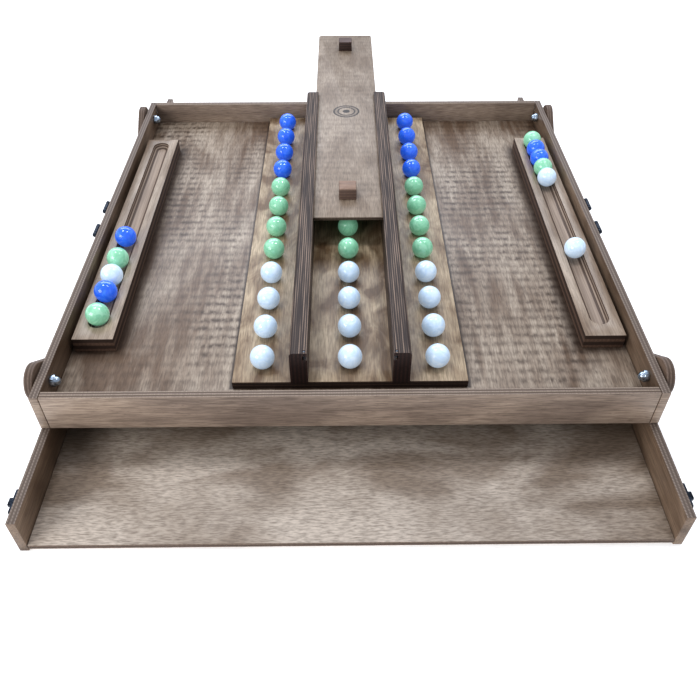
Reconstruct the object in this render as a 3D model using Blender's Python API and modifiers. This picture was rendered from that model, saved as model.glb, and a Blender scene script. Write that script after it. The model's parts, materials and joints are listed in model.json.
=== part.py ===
"""Marble sorting game in a folding plywood case.

A shallow tray stands on two opened half-lids.  Each half-lid hangs on a pair of
link arms, so it can swing out from under the tray, turn over and close the case.
Inside the tray are a board with three rows of twelve marbles, two grooved guide
rails, a sliding cover that hides the middle row, and two racks for loose marbles.

Axes: +X to the right, +Y to the back (the way the cover slides out), +Z up.
The origin is on the surface that the case stands on, below the middle of the object.
"""

import math

import bmesh
import bpy
from mathutils import Matrix, Vector

MM = 0.001
GAP = 0.3  # running gap between pieces that touch

# ---------------------------------------------------------------- driving dimensions (mm)
CASE_WIDTH = 420.0
CASE_LENGTH = 432.0
WALL = 6.0
WALL_HEIGHT = 30.0
RIM_GAP = 0.4  # between the rims of the half-lids and the tray standing on them
LID_REACH = 75.0  # how far an opened half-lid sticks out in front of the tray

TRAY_FLOOR_TOP = 10.0  # above the lower edge of the tray's walls
TRAY_FLOOR = 4.0
LID_FLOOR_LIFT = 2.0
LID_FLOOR = 4.0
LID_LENGTH = CASE_LENGTH / 2 - 0.3

BOARD_WIDTH = 164.0
BOARD_FRONT = 26.0  # distances along the tray, from its front face
BOARD_REAR = 422.0
BOARD = 6.0
ROW_SPACING = 61.5
ROW_FIRST = 43.4
MARBLE_PITCH = 32.2
MARBLES_IN_ROW = 12
MARBLE_RADIUS = 8.7
DIMPLE_RADIUS = 5.0
DIMPLE_DEPTH = 3.4

RAIL_WIDTH = 12.0
RAIL_INNER = 29.0  # from the middle of the case to a rail's inner face
RAIL_FRONT = 24.5
RAIL_LENGTH = 398.0
RAIL_TOP = 15.0  # above the tray's rim
RAIL_ROUND = 2.6
GROOVE_DEPTH = 3.1
GROOVE_HEIGHT = 3.6
GROOVE_BOTTOM = 8.7  # above the tray's rim

COVER_WIDTH = 63.4
COVER_LENGTH = 398.0
COVER = 3.0
COVER_FRONT = 190.0
COVER_CORNER = 4.0
KNOB = 15.0
KNOB_HEIGHT = 10.0
FRONT_KNOB = 34.0  # from the cover's front edge to the knob's centre
REAR_KNOB = 357.0

RACK_INNER = 171.0
RACK_WIDTH = 30.0
RACK_HEIGHT = 12.0
RACK_FRONT = 64.5
RACK_REAR = 363.5
SLOT_FRONT = 84.5  # centres of the groove's round ends
SLOT_REAR = 349.0
SLOT_WIDTH = 14.6
SLOT_STEP = 3.6
SLOT_INNER = 9.6
SLOT_DEPTH = 5.6

PIVOT_Y = 23.5  # tray pivots, from the nearer end of the tray
PIVOT_DROP = 8.0  # below the tray's rim
LID_PIVOT_DROP = 10.0  # below the half-lid's rim
ARM = 6.0
ARM_RADIUS = 13.0
ARM_GAP = 1.2  # between a wall and an arm, filled by a washer
BOLT_RADIUS = 2.0
BOLT_HEAD = 4.2
BOLT_HEAD_DEPTH = 2.0
WASHER_RADIUS = 5.5
NUT_CORNER = 4.3
NUT_HEX = 3.2
NUT_DOME = 3.4
HOLE_RADIUS = BOLT_RADIUS + GAP

LATCH_OFFSET = 18.0  # from the middle of the case, along its length
LATCH_WIDTH = 22.0
LATCH_HEIGHT = 17.0
LATCH_TOP = 3.0  # below the tray's rim
LATCH_SHEET = 1.2
HASP_WIDTH = 15.0
HASP_LENGTH = 15.0
BARREL = 1.9
PIN_RADIUS = 0.7

# ---------------------------------------------------------------- derived positions (mm)
HALF = CASE_WIDTH / 2
TRAY_FRONT = -(COVER_FRONT + COVER_LENGTH - LID_REACH) / 2
TRAY_REAR = TRAY_FRONT + CASE_LENGTH
TRAY_MIDDLE = TRAY_FRONT + CASE_LENGTH / 2
TRAY_BOTTOM = WALL_HEIGHT + RIM_GAP
RIM = TRAY_BOTTOM + WALL_HEIGHT
FLOOR_TOP = TRAY_BOTTOM + TRAY_FLOOR_TOP
BOARD_TOP = FLOOR_TOP + GAP + BOARD
RACK_TOP = FLOOR_TOP + GAP + RACK_HEIGHT
ARM_INNER = HALF + ARM_GAP

# The lid's pivot must be as far from the tray's pivot when the half-lid is open
# under the tray as when it is turned over and closed on top of it.
_closed_end = LID_LENGTH - LID_REACH  # of an opened half-lid, in from the tray's end
_low = (RIM - PIVOT_DROP) - (WALL_HEIGHT - LID_PIVOT_DROP)
_high = RIM_GAP + LID_PIVOT_DROP + PIVOT_DROP
_far = _closed_end - PIVOT_Y
LID_PIVOT = (_far ** 2 + _low ** 2 - PIVOT_Y ** 2 - _high ** 2) / (2 * (_far - PIVOT_Y))
ARM_LENGTH = math.hypot(_far - LID_PIVOT, _low)
ARM_SLOPE = math.atan2(_low, _far - LID_PIVOT)

# ---------------------------------------------------------------- colours
PLY = (0.33, 0.25, 0.19)
PLY_PALE = (0.44, 0.37, 0.30)
PLY_EDGE = (0.16, 0.11, 0.085)
BLUE = (0.03, 0.12, 0.75)
GREEN = (0.22, 0.58, 0.38)
WHITE = (0.72, 0.80, 0.90)
STEEL = (0.62, 0.66, 0.72)
BLACK_METAL = (0.035, 0.04, 0.055)


# ---------------------------------------------------------------- scene and helpers
def clear_scene():
    for obj in list(bpy.data.objects):
        bpy.data.objects.remove(obj, do_unlink=True)
    for old in list(bpy.data.collections):
        bpy.data.collections.remove(old)


def new_collection(name):
    made = bpy.data.collections.new(name)
    bpy.context.scene.collection.children.link(made)
    return made


clear_scene()
GAME = new_collection("marble_sorting_game")
CUTTERS = new_collection("cutters")


def finish(obj, colour, roughness=0.6, metallic=0.0):
    material = bpy.data.materials.new(obj.name + "_finish")
    material.use_nodes = True
    shader = material.node_tree.nodes["Principled BSDF"]
    shader.inputs["Base Color"].default_value = (*colour, 1.0)
    shader.inputs["Roughness"].default_value = roughness
    shader.inputs["Metallic"].default_value = metallic
    obj.data.materials.clear()
    obj.data.materials.append(material)


def add_object(name, mesh, collection=GAME):
    obj = bpy.data.objects.new(name, mesh)
    collection.objects.link(obj)
    return obj


def place(obj, x, y, z, parent=None):
    """Put an object at a point given in mm, keeping it there under its parent."""
    obj.location = Vector((x, y, z)) * MM
    if parent is not None:
        obj.parent = parent
        obj.location = Vector((x, y, z)) * MM - parent.location


def empty(name, x, y, z):
    obj = add_object(name, None)
    obj.empty_display_size = 10 * MM
    obj.location = Vector((x, y, z)) * MM
    return obj


def cube_mesh(name, size):
    bm = bmesh.new()
    bmesh.ops.create_cube(bm, size=1.0)
    bmesh.ops.scale(bm, vec=Vector(size) * MM, verts=bm.verts)
    mesh = bpy.data.meshes.new(name)
    bm.to_mesh(mesh)
    bm.free()
    return mesh


def box(name, low, high, colour, parent=None, chamfer=0.5, roughness=0.6):
    """A plank between two corners, with its edges eased."""
    low, high = Vector(low), Vector(high)
    obj = add_object(name, cube_mesh(name, high - low))
    place(obj, *((low + high) / 2), parent)
    if chamfer:
        edges = obj.modifiers.new("eased_edges", "BEVEL")
        edges.width = chamfer * MM
        edges.segments = 1
    finish(obj, colour, roughness)
    return obj


def cutter(name, mesh, location, rotation=(0.0, 0.0, 0.0)):
    obj = add_object(name, mesh, CUTTERS)
    obj.location = Vector(location) * MM
    obj.rotation_euler = rotation
    obj.hide_render = True
    obj.display_type = "WIRE"
    return obj


def cut(obj, tool, operation="DIFFERENCE"):
    boolean = obj.modifiers.new(tool.name, "BOOLEAN")
    boolean.operation = operation
    boolean.solver = "EXACT"
    boolean.object = tool


def cone_mesh(name, radius1, radius2, depth, segments=16):
    """A cylinder or cone about Z, centred on its origin."""
    bm = bmesh.new()
    bmesh.ops.create_cone(
        bm,
        cap_ends=True,
        segments=segments,
        radius1=radius1 * MM,
        radius2=radius2 * MM,
        depth=depth * MM,
    )
    mesh = bpy.data.meshes.new(name)
    bm.to_mesh(mesh)
    bm.free()
    return mesh


def evaluated_mesh(obj, name):
    """The object's mesh with its modifiers, in its own axes; the object is removed."""
    bpy.context.view_layer.update()
    graph = bpy.context.evaluated_depsgraph_get()
    mesh = bpy.data.meshes.new_from_object(obj.evaluated_get(graph), depsgraph=graph)
    mesh.name = name
    mesh.materials.clear()
    bm = bmesh.new()
    bm.from_mesh(mesh)
    bmesh.ops.remove_doubles(bm, verts=bm.verts, dist=0.00001)
    bm.to_mesh(mesh)
    bm.free()
    bpy.data.objects.remove(obj, do_unlink=True)
    return mesh


def outline_mesh(name, points, thickness):
    """A flat outline in the XY plane, extruded equally up and down Z."""
    curve = bpy.data.curves.new(name, "CURVE")
    curve.dimensions = "2D"
    curve.fill_mode = "BOTH"
    curve.extrude = thickness / 2 * MM
    spline = curve.splines.new("POLY")
    spline.points.add(len(points) - 1)
    for point, (x, y) in zip(spline.points, points):
        point.co = (x * MM, y * MM, 0.0, 1.0)
    spline.use_cyclic_u = True
    return evaluated_mesh(add_object(name, curve), name)


def arc(cx, cy, radius, start, end, steps):
    """Points on an arc, angles in degrees."""
    points = []
    for i in range(steps + 1):
        angle = math.radians(start + (end - start) * i / steps)
        points.append((cx + radius * math.cos(angle), cy + radius * math.sin(angle)))
    return points


def stadium(length, radius, steps=10):
    """A slot outline along X, from one end centre at 0 to the other at length."""
    return arc(length, 0.0, radius, -90, 90, steps) + arc(0.0, 0.0, radius, 90, 270, steps)


def turned_mesh(name, profile, steps=16):
    """A profile of (radius, height) points, turned about Z."""
    mesh = bpy.data.meshes.new(name)
    bm = bmesh.new()
    verts = [bm.verts.new((r * MM, 0.0, z * MM)) for r, z in profile]
    for a, b in zip(verts, verts[1:]):
        bm.edges.new((a, b))
    bm.to_mesh(mesh)
    bm.free()
    obj = add_object(name, mesh)
    screw = obj.modifiers.new("turn", "SCREW")
    screw.steps = steps
    screw.render_steps = steps
    screw.use_merge_vertices = True
    screw.merge_threshold = 0.00001
    return evaluated_mesh(obj, name)


def solid(name, mesh, centre, turn, colour, parent=None, roughness=0.3, metallic=0.0):
    """One object from a shared mesh, at a centre given in mm from the world origin."""
    obj = add_object(name, mesh.copy())
    obj.data.name = name
    place(obj, *centre, parent)
    obj.rotation_euler = turn.to_euler()
    obj.data.shade_smooth()
    obj.data.set_sharp_from_angle(angle=math.radians(35))
    finish(obj, colour, roughness, metallic)
    return obj


def union(name, meshes):
    """Join overlapping meshes into one solid mesh."""
    base = add_object(name, meshes[0])
    tools = [add_object(name + "_piece", mesh) for mesh in meshes[1:]]
    for tool in tools:
        cut(base, tool, "UNION")
    mesh = evaluated_mesh(base, name)
    for tool in tools:
        bpy.data.objects.remove(tool, do_unlink=True)
    return mesh


def moved(mesh, centre):
    mesh.transform(Matrix.Translation(Vector(centre) * MM))
    return mesh


STRAIGHT = Matrix.Identity(4)
ALONG_Y = (math.radians(90), 0.0, 0.0)  # outline XY becomes XZ
ALONG_X = (math.radians(90), 0.0, math.radians(90))  # outline XY becomes YZ
OUT_RIGHT = Matrix.Rotation(math.radians(90), 4, "Y")  # local +Z points to +X
OUT_LEFT = Matrix.Rotation(math.radians(-90), 4, "Y")  # local +Z points to -X
ABOUT = Matrix.Rotation(math.radians(180), 4, "Z")
SIDES = (("left", -1), ("right", 1))
ENDS = (("front", 1), ("rear", -1))  # +1: away from this end is +Y


def along(end, distance):
    """A position along the case, measured inwards from its front or rear face."""
    return TRAY_FRONT + distance if end == 1 else TRAY_REAR - distance


# ---------------------------------------------------------------- tray
def make_tray():
    inner = HALF - WALL
    box(
        "tray_floor",
        (-inner + GAP, TRAY_FRONT + WALL + GAP, FLOOR_TOP - TRAY_FLOOR),
        (inner - GAP, TRAY_REAR - WALL - GAP, FLOOR_TOP),
        PLY_PALE,
        chamfer=0.0,
    )
    for name, end in ENDS:
        outer = along(end, 0.0)
        inside = along(end, WALL)
        box(
            f"tray_{name}_wall",
            (-inner + GAP, min(outer, inside), TRAY_BOTTOM),
            (inner - GAP, max(outer, inside), RIM),
            PLY,
        )
    for name, side in SIDES:
        wall = box(
            f"tray_{name}_wall",
            (min(side * inner, side * HALF), TRAY_FRONT, TRAY_BOTTOM),
            (max(side * inner, side * HALF), TRAY_REAR, RIM),
            PLY,
        )
        for end_name, end in ENDS:
            tool = cutter(
                f"{name}_{end_name}_tray_pivot_hole",
                cone_mesh("pivot_hole", HOLE_RADIUS, HOLE_RADIUS, 4 * WALL),
                (side * (HALF - WALL / 2), along(end, PIVOT_Y), RIM - PIVOT_DROP),
                (0.0, math.radians(90), 0.0),
            )
            cut(wall, tool)


# ---------------------------------------------------------------- board, rails and racks
def marble_rows():
    """Centres of the dimples: three rows of twelve."""
    for row in (-1, 0, 1):
        for i in range(MARBLES_IN_ROW):
            yield row * ROW_SPACING, TRAY_FRONT + ROW_FIRST + i * MARBLE_PITCH


def make_board():
    board = box(
        "marble_board",
        (-BOARD_WIDTH / 2, TRAY_FRONT + BOARD_FRONT, FLOOR_TOP + GAP),
        (BOARD_WIDTH / 2, TRAY_FRONT + BOARD_REAR, BOARD_TOP),
        PLY_PALE,
    )
    # Cones point down: the wide end is just above the board's top.
    lift = 0.5
    wide = DIMPLE_RADIUS * (DIMPLE_DEPTH + lift) / DIMPLE_DEPTH
    cone = cone_mesh("dimple", 0.0, wide, DIMPLE_DEPTH + lift, segments=12)
    bm = bmesh.new()
    for x, y in marble_rows():
        copy = cone.copy()
        height = BOARD_TOP - DIMPLE_DEPTH + (DIMPLE_DEPTH + lift) / 2
        copy.transform(Matrix.Translation(Vector((x, y, height)) * MM))
        bm.from_mesh(copy)
        bpy.data.meshes.remove(copy)
    dimples = bpy.data.meshes.new("dimples")
    bm.to_mesh(dimples)
    bm.free()
    cut(board, cutter("board_dimples", dimples, (0.0, 0.0, 0.0)))


def rail_outline():
    """Cross-section of the right rail: x from its inner face, y above the tray's rim."""
    bottom = BOARD_TOP + GAP - RIM
    groove_top = GROOVE_BOTTOM + GROOVE_HEIGHT
    corner = arc(RAIL_WIDTH - RAIL_ROUND, RAIL_TOP - RAIL_ROUND, RAIL_ROUND, 0, 90, 4)
    return [
        (0.0, bottom),
        (RAIL_WIDTH, bottom),
        *corner,
        (0.0, RAIL_TOP),
        (0.0, groove_top),
        (GROOVE_DEPTH, groove_top),
        (GROOVE_DEPTH, GROOVE_BOTTOM),
        (0.0, GROOVE_BOTTOM),
    ]


def make_rails():
    middle = TRAY_FRONT + RAIL_FRONT + RAIL_LENGTH / 2
    pin_y = TRAY_FRONT + RAIL_FRONT + 2.1
    pin_x = RAIL_INNER + 1.9
    pin_low = RIM + GROOVE_BOTTOM + GAP
    pin_high = RIM + RAIL_TOP
    pin = cone_mesh("stop_pin", 0.85, 0.85, pin_high - pin_low, segments=12)
    for name, side in SIDES:
        points = [(side * (RAIL_INNER + x), y) for x, y in rail_outline()]
        rail = add_object(f"{name}_guide_rail", outline_mesh(f"{name}_rail", points, RAIL_LENGTH))
        rail.rotation_euler = ALONG_Y
        place(rail, 0.0, middle, RIM)
        finish(rail, PLY_EDGE)
        hole = cutter(
            f"{name}_stop_pin_hole",
            cone_mesh("stop_pin_hole", 1.15, 1.15, 10.0, segments=12),
            (side * pin_x, pin_y, RIM + GROOVE_BOTTOM + 0.5 + 5.0),
        )
        cut(rail, hole)
        centre = (side * pin_x, pin_y, (pin_low + pin_high) / 2)
        solid(f"{name}_cover_stop_pin", pin, centre, STRAIGHT, STEEL, metallic=1.0)


def make_racks():
    for name, side in SIDES:
        near, far = side * RACK_INNER, side * (RACK_INNER + RACK_WIDTH)
        rack = box(
            f"{name}_marble_rack",
            (min(near, far), TRAY_FRONT + RACK_FRONT, FLOOR_TOP + GAP),
            (max(near, far), TRAY_FRONT + RACK_REAR, RACK_TOP),
            PLY,
        )
        centre = side * (RACK_INNER + RACK_WIDTH / 2)
        length = SLOT_REAR - SLOT_FRONT
        for step, width, depth in (("wide", SLOT_WIDTH, SLOT_STEP), ("deep", SLOT_INNER, SLOT_DEPTH)):
            tool = cutter(
                f"{name}_rack_{step}_slot",
                outline_mesh("slot", stadium(length, width / 2), 2 * depth),
                (centre, TRAY_FRONT + SLOT_FRONT, RACK_TOP),
                (0.0, 0.0, math.radians(90)),
            )
            cut(rack, tool)


# ---------------------------------------------------------------- sliding cover
def cover_outline():
    """Square at the front, rounded at the rear; y runs along the cover."""
    half = COVER_WIDTH / 2
    reach = COVER_LENGTH - COVER_CORNER
    right = arc(half - COVER_CORNER, reach, COVER_CORNER, 0, 90, 5)
    left = arc(-half + COVER_CORNER, reach, COVER_CORNER, 90, 180, 5)
    return [(-half, 0.0), (half, 0.0), *right, *left]


def make_cover():
    front = TRAY_FRONT + COVER_FRONT
    bottom = RIM + GROOVE_BOTTOM + (GROOVE_HEIGHT - COVER) / 2
    top = bottom + COVER
    slide = empty("cover_slide_axis", 0.0, front, bottom)
    cover = add_object("sliding_cover", outline_mesh("cover", cover_outline(), COVER))
    place(cover, 0.0, front, bottom + COVER / 2, slide)
    finish(cover, PLY_PALE)
    for name, distance in (("front", FRONT_KNOB), ("rear", REAR_KNOB)):
        y = front + distance
        box(
            f"cover_{name}_knob",
            (-KNOB / 2, y - KNOB / 2, top + GAP),
            (KNOB / 2, y + KNOB / 2, top + GAP + KNOB_HEIGHT),
            PLY_EDGE if name == "rear" else PLY,
            parent=slide,
            chamfer=1.2,
        )


# ---------------------------------------------------------------- pivot bolts
def pivot_mesh():
    """Countersunk bolt, washer and domed cap nut as one solid about Z.

    The head's flat face is at 0 and everything else is below it.
    """
    washer_top = -ARM - GAP
    washer_bottom = -ARM - ARM_GAP + GAP
    seat = -ARM - ARM_GAP - WALL - GAP
    profile = [
        (0.0, 0.0),
        (BOLT_HEAD, 0.0),
        (BOLT_RADIUS, -BOLT_HEAD_DEPTH),
        (BOLT_RADIUS, washer_top),
        (WASHER_RADIUS, washer_top),
        (WASHER_RADIUS, washer_bottom),
        (BOLT_RADIUS, washer_bottom),
        (BOLT_RADIUS, seat - 1.0),
        (NUT_DOME, seat - 1.0),
    ]
    for i in range(5):
        angle = math.radians(i * 22.5)
        profile.append((NUT_DOME * math.cos(angle), seat - 3.4 - NUT_DOME * math.sin(angle)))
    bolt = turned_mesh("pivot_bolt", profile, steps=12)
    hexagon = moved(cone_mesh("nut_hexagon", NUT_CORNER, NUT_CORNER, NUT_HEX, segments=6),
                    (0.0, 0.0, seat - NUT_HEX / 2))
    return union("pivot", [bolt, hexagon])


PIVOT = pivot_mesh()


def make_pivots(names, points, parent=None):
    """Bolts from outside with their nuts inside, at (side, y, z) points."""
    for name, (side, y, z) in zip(names, points):
        out = OUT_RIGHT if side == 1 else OUT_LEFT
        centre = (side * (ARM_INNER + ARM), y, z)
        solid(name, PIVOT, centre, out, STEEL, parent, roughness=0.2, metallic=1.0)


# ---------------------------------------------------------------- arms and half-lids
def make_arm(name, side, end, parent):
    """A link arm from the tray's pivot down to the half-lid's pivot."""
    plank = add_object(name, outline_mesh(name, stadium(ARM_LENGTH, ARM_RADIUS), ARM))
    slope = -ARM_SLOPE if end == 1 else math.pi + ARM_SLOPE
    plank.rotation_euler = ALONG_X
    plank.data.transform(Matrix.Rotation(slope, 4, "Z"))
    pivot_y, pivot_z = along(end, PIVOT_Y), RIM - PIVOT_DROP
    place(plank, side * (ARM_INNER + ARM / 2), pivot_y, pivot_z, parent)
    finish(plank, PLY)
    lid_y = pivot_y + end * ARM_LENGTH * math.cos(ARM_SLOPE)
    lid_z = pivot_z - ARM_LENGTH * math.sin(ARM_SLOPE)
    sink_depth = BOLT_HEAD_DEPTH + GAP
    wide = BOLT_HEAD + GAP + 0.1
    for hole_name, y, z in (("tray", pivot_y, pivot_z), ("lid", lid_y, lid_z)):
        hole = cutter(
            f"{name}_{hole_name}_hole",
            cone_mesh("arm_hole", HOLE_RADIUS, HOLE_RADIUS, 4 * ARM, segments=16),
            (side * (ARM_INNER + ARM / 2), y, z),
            (0.0, math.radians(90), 0.0),
        )
        cut(plank, hole)
        # The sink widens outwards, a little past the arm's outer face.
        past = 0.5
        slope_rate = (wide - HOLE_RADIUS) / sink_depth
        sink = cutter(
            f"{name}_{hole_name}_sink",
            cone_mesh("arm_sink", HOLE_RADIUS - 0.1, wide + slope_rate * past, sink_depth + past),
            (side * (ARM_INNER + ARM - sink_depth + (sink_depth + past) / 2), y, z),
            (0.0, side * math.radians(90), 0.0),
        )
        cut(plank, sink)
    return plank


def make_half_lid(end_name, end, parent):
    """Floor, inner end wall and two side walls; the outer end is open."""
    inner = HALF - WALL
    open_end = along(end, -LID_REACH)
    closed_end = along(end, LID_LENGTH - LID_REACH)
    lip = closed_end - end * (WALL + GAP)
    box(
        f"{end_name}_lid_floor",
        (-inner + GAP, min(open_end, lip), LID_FLOOR_LIFT),
        (inner - GAP, max(open_end, lip), LID_FLOOR_LIFT + LID_FLOOR),
        PLY_PALE,
        parent=parent,
        chamfer=0.0,
    )
    inside = closed_end - end * WALL
    box(
        f"{end_name}_lid_end_wall",
        (-inner + GAP, min(closed_end, inside), 0.0),
        (inner - GAP, max(closed_end, inside), WALL_HEIGHT),
        PLY,
        parent=parent,
    )
    pivot_y = along(end, LID_LENGTH - LID_REACH - LID_PIVOT)
    pivot_z = WALL_HEIGHT - LID_PIVOT_DROP
    for side_name, side in SIDES:
        wall = box(
            f"{end_name}_lid_{side_name}_wall",
            (min(side * inner, side * HALF), min(open_end, closed_end), 0.0),
            (max(side * inner, side * HALF), max(open_end, closed_end), WALL_HEIGHT),
            PLY,
            parent=parent,
        )
        tool = cutter(
            f"{end_name}_{side_name}_lid_pivot_hole",
            cone_mesh("lid_pivot_hole", HOLE_RADIUS, HOLE_RADIUS, 4 * WALL),
            (side * (HALF - WALL / 2), pivot_y, pivot_z),
            (0.0, math.radians(90), 0.0),
        )
        cut(wall, tool)
    names = [f"{end_name}_{side_name}_lid_pivot" for side_name, _ in SIDES]
    make_pivots(names, [(side, pivot_y, pivot_z) for _, side in SIDES], parent)
    make_catches(end_name, end, parent)


def make_linkage():
    for end_name, end in ENDS:
        tray_pivot = empty(f"{end_name}_arm_axis", 0.0, along(end, PIVOT_Y), RIM - PIVOT_DROP)
        for side_name, side in SIDES:
            make_arm(f"{end_name}_{side_name}_arm", side, end, tray_pivot)
        lid_y = along(end, LID_LENGTH - LID_REACH - LID_PIVOT)
        lid_pivot = empty(f"{end_name}_lid_axis", 0.0, lid_y, WALL_HEIGHT - LID_PIVOT_DROP)
        make_half_lid(end_name, end, lid_pivot)
        names = [f"{end_name}_{side_name}_tray_pivot" for side_name, _ in SIDES]
        make_pivots(names, [(side, along(end, PIVOT_Y), RIM - PIVOT_DROP) for _, side in SIDES])


# ---------------------------------------------------------------- latches
def block(size, centre):
    return moved(cube_mesh("block", size), centre)


def round_bar(radius, length, centre_y=0.0):
    """A round bar along Y."""
    mesh = cone_mesh("bar", radius, radius, length, segments=12)
    mesh.transform(Matrix.Rotation(math.radians(90), 4, "X"))
    return moved(mesh, (0.0, centre_y, 0.0))


def drilled_barrel(length):
    """A hinge barrel along Y with a hole for its pin."""
    hole = PIN_RADIUS + GAP
    profile = [(hole, length / 2), (BARREL, length / 2), (BARREL, -length / 2), (hole, -length / 2)]
    profile.append(profile[0])
    mesh = turned_mesh("barrel", profile, steps=12)
    mesh.transform(Matrix.Rotation(math.radians(90), 4, "X"))
    return mesh


LATCH_REACH = BARREL + LATCH_SHEET + GAP  # from a latch's back to its hinge pin
LATCH_EAR = 3.0
HASP_NECK = HASP_WIDTH - 2 * LATCH_EAR - 2 * GAP


def latch_base_mesh():
    """Base plate with two ears and the hinge pin between them, about the pin.

    Local X points out of the wall, Y along it, Z up.
    """
    plate_x = -LATCH_REACH + LATCH_SHEET / 2
    plate_z = -LATCH_HEIGHT / 2 + BARREL
    pieces = [block((LATCH_SHEET, LATCH_WIDTH, LATCH_HEIGHT), (plate_x, 0.0, plate_z))]
    for side in (-1, 1):
        y = side * (HASP_NECK / 2 + GAP + LATCH_EAR / 2)
        pieces.append(block((LATCH_REACH, LATCH_EAR, 1.6), (-LATCH_REACH / 2, y, 0.0)))
        pieces.append(round_bar(BARREL, LATCH_EAR, y))
    pieces.append(round_bar(PIN_RADIUS, HASP_NECK + LATCH_EAR + 2 * GAP))
    return union("latch_base", pieces)


def hasp_mesh():
    """Hinged strap that hangs from its barrel, with a window for the catch's hook."""
    sheet_x = -BARREL + LATCH_SHEET / 2 + 0.3
    top = -BARREL * 0.7
    neck = block((LATCH_SHEET, HASP_NECK, HASP_LENGTH), (sheet_x, 0.0, top - HASP_LENGTH / 2))
    strap = block(
        (LATCH_SHEET, HASP_WIDTH, HASP_LENGTH - 4.0),
        (sheet_x, 0.0, top - HASP_LENGTH / 2 - 2.0),
    )
    tab = block((2.6, 8.0, 1.4), (sheet_x + 1.0, 0.0, top - HASP_LENGTH + 0.7))
    joined = union("hasp", [drilled_barrel(HASP_NECK), neck, strap, tab])
    hasp = add_object("hasp_solid", joined)
    window = add_object("hasp_window", block((8.0, 6.4, 3.8), (sheet_x, 0.0, -8.8)))
    cut(hasp, window)
    mesh = evaluated_mesh(hasp, "hasp")
    bpy.data.objects.remove(window, do_unlink=True)
    return mesh


def make_latches():
    base = latch_base_mesh()
    hasp = hasp_mesh()
    z = RIM - LATCH_TOP - BARREL
    for side_name, side in SIDES:
        x = side * (HALF + GAP + LATCH_REACH)
        turn = STRAIGHT if side == 1 else ABOUT
        for end_name, end in ENDS:
            y = TRAY_MIDDLE - end * LATCH_OFFSET
            axis = empty(f"{end_name}_{side_name}_hasp_axis", x, y, z)
            name = f"{end_name}_{side_name}_latch_base"
            solid(name, base, (x, y, z), turn, BLACK_METAL, roughness=0.45, metallic=1.0)
            name = f"{end_name}_{side_name}_hasp"
            solid(name, hasp, (x, y, z), turn, BLACK_METAL, axis, roughness=0.45, metallic=1.0)


def catch_mesh():
    """Plate with a hook, hanging below its origin; X points out of the wall."""
    plate = block((LATCH_SHEET, 18.0, 11.0), (LATCH_SHEET / 2, 0.0, -6.5))
    hook = block((3.6, 5.6, 2.6), (2.2, 0.0, -3.2))
    return union("catch", [plate, hook])


CATCH = catch_mesh()


def make_catches(end_name, end, parent):
    """Catch plates near the open end of a half-lid's side walls."""
    y = along(end, -LID_REACH + LATCH_OFFSET)
    for side_name, side in SIDES:
        turn = STRAIGHT if side == 1 else ABOUT
        name = f"{end_name}_{side_name}_catch"
        centre = (side * (HALF + GAP), y, WALL_HEIGHT)
        solid(name, CATCH, centre, turn, BLACK_METAL, parent, roughness=0.45, metallic=1.0)


# ---------------------------------------------------------------- marbles
def marble_mesh():
    bm = bmesh.new()
    bmesh.ops.create_uvsphere(bm, u_segments=10, v_segments=6, radius=MARBLE_RADIUS * MM)
    mesh = bpy.data.meshes.new("marble")
    bm.to_mesh(mesh)
    bm.free()
    return mesh


def marble_string(name, x, distances, z, colour):
    """Marbles in a line along the case, held together by a thin rod to make one solid.

    The rod only keeps the marbles of one object in one body: real marbles are loose.
    """
    first, last = distances[0], distances[-1]
    pieces = [moved(marble_mesh(), (0.0, distance - first, 0.0)) for distance in distances]
    if last > first:
        pieces.append(round_bar(ROD_RADIUS, last - first, (last - first) / 2))
    solid(name, union(name, pieces), (x, TRAY_FRONT + first, z), STRAIGHT, colour, roughness=0.08)


def make_row_marbles():
    """Twelve marbles in each row: four white, four green and four blue, from the front."""
    z = BOARD_TOP + math.sqrt(MARBLE_RADIUS ** 2 - DIMPLE_RADIUS ** 2) + GAP
    for row_name, row in (("left", -1), ("middle", 0), ("right", 1)):
        for k, (colour_name, colour) in enumerate(ROW_COLOURS):
            distances = [ROW_FIRST + i * MARBLE_PITCH for i in range(4 * k, 4 * k + 4)]
            name = f"{row_name}_row_{colour_name}_marbles"
            marble_string(name, row * ROW_SPACING, distances, z, colour)


def make_rack_marbles():
    """Loose marbles in the two racks, at their distances from the tray's front."""
    z = RACK_TOP + math.sqrt(MARBLE_RADIUS ** 2 - (SLOT_WIDTH / 2) ** 2) + GAP
    x = RACK_INNER + RACK_WIDTH / 2
    for name, side, colour, distances in RACK_MARBLES:
        marble_string(name, side * x, distances, z, colour)


ROD_RADIUS = 0.8
ROW_COLOURS = (("white", WHITE), ("green", GREEN), ("blue", BLUE))
RACK_MARBLES = (
    ("left_rack_marbles", -1, GREEN, (86.5, 113.2, 133.6, 155.5)),
    ("left_rack_blue_marble", -1, BLUE, (185.5,)),
    ("right_rack_marbles", 1, BLUE, (277.2, 295.2, 313.1, 331.0, 348.9)),
    ("right_rack_white_marble", 1, WHITE, (165.5,)),
)

make_tray()
make_board()
make_rails()
make_racks()
make_cover()
make_linkage()
make_latches()
make_row_marbles()
make_rack_marbles()
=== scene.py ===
# %% [markdown]
# # A marble sorting game in a folding plywood case
#
# The real game is a shallow tray of walnut-stained birch plywood.  It stands on its two
# half-lids, which swing out from under it on link arms.  A board with three rows of glass
# marbles lies in the middle, between two racks, and a cover slides in two grooved rails.
#
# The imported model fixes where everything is.  This lesson puts finely made pieces in the
# place of its plain solids and gives every surface a finish worked out from real sizes.

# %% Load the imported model
import json
import math

import bmesh
import bpy
from mathutils import Matrix, Vector


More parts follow.
